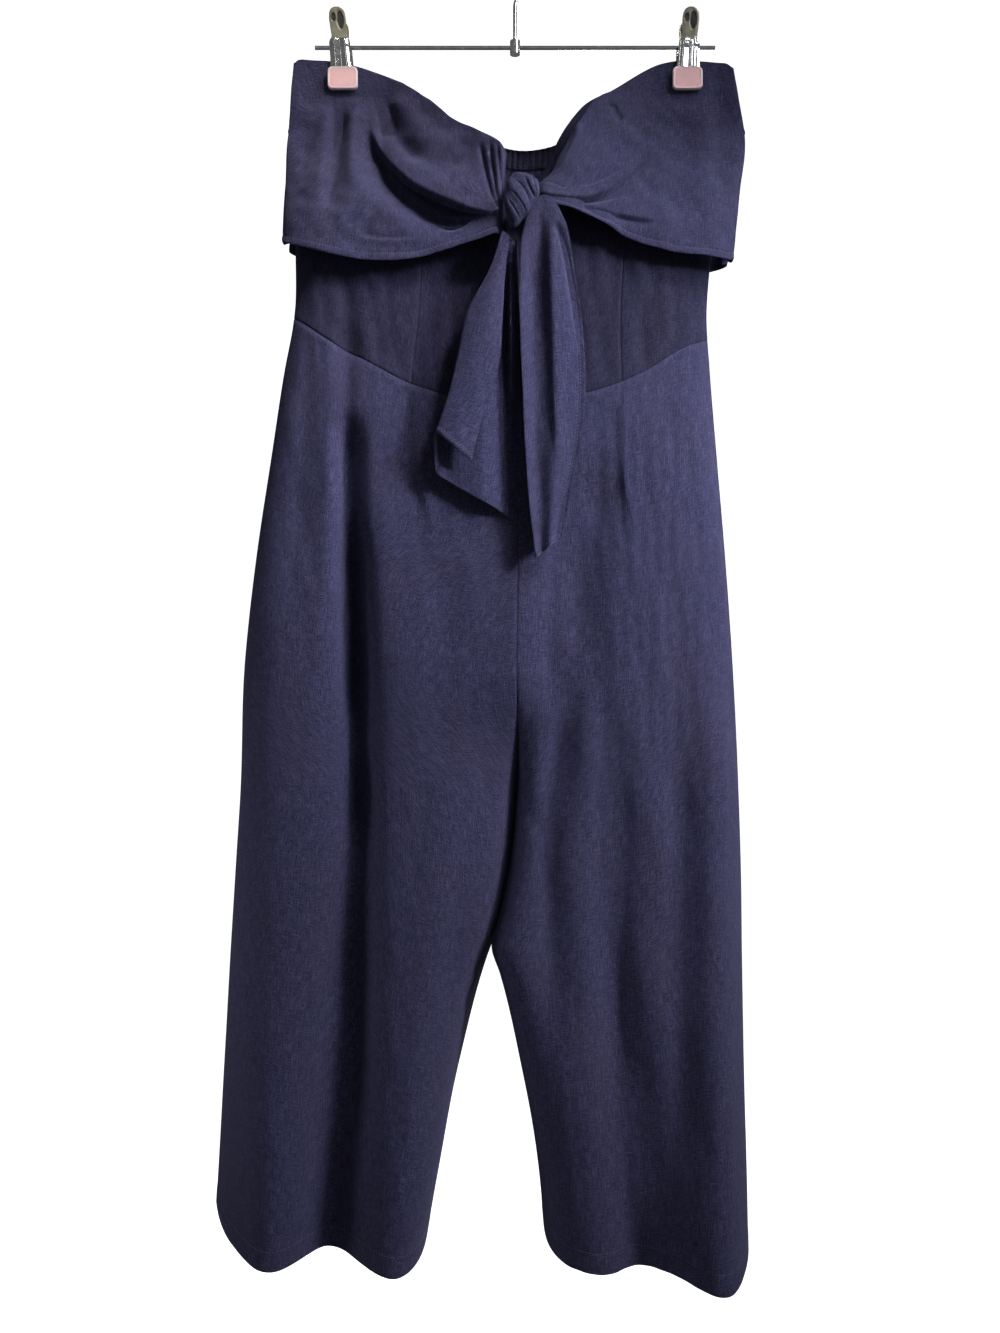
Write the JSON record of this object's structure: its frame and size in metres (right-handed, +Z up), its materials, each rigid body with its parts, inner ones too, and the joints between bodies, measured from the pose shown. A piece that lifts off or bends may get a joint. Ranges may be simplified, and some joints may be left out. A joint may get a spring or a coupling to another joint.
{
  "type": "jumpsuit on clip hanger",
  "caption": "Strapless navy jumpsuit with a fold-over band knotted at the front, V waist seam and wide cropped legs, held by the clips of a wire hanger.",
  "frame": {"origin": "seat of the hanger's hook, the point inside the hook's top that rests on a rod", "axes": "+Z up, +X to the right of someone who looks at the front, -Y the garment's front"},
  "size_m": [0.5367, 0.2197, 1.2641],
  "materials": {
    "cloth": "slub linen-look weave, matt, navy with a violet cast",
    "chrome": "bright plated steel",
    "pad": "soft pink vinyl cap"
  },
  "bodies": {
    "root": {"trouser_front_left": "cloth", "trouser_front_right": "cloth", "trouser_back_left": "cloth", "trouser_back_right": "cloth", "bodice_front_centre": "cloth", "bodice_front_side_left": "cloth", "bodice_front_side_right": "cloth", "bodice_back": "cloth", "bodice_back_casing": "cloth", "band_front_left": "cloth", "band_front_right": "cloth", "band_back": "cloth", "knot": "cloth", "tie_end_left": "cloth", "tie_end_right": "cloth", "hanger_hook": "chrome", "hanger_boss": "chrome", "hanger_bar": "chrome", "clip_left_jaw_front": "chrome", "clip_left_jaw_back": "chrome", "clip_left_spring": "chrome", "clip_left_pad_front": "pad", "clip_left_pad_back": "pad", "clip_right_jaw_front": "chrome", "clip_right_jaw_back": "chrome", "clip_right_spring": "chrome", "clip_right_pad_front": "pad", "clip_right_pad_back": "pad"}
  },
  "joints": []
}
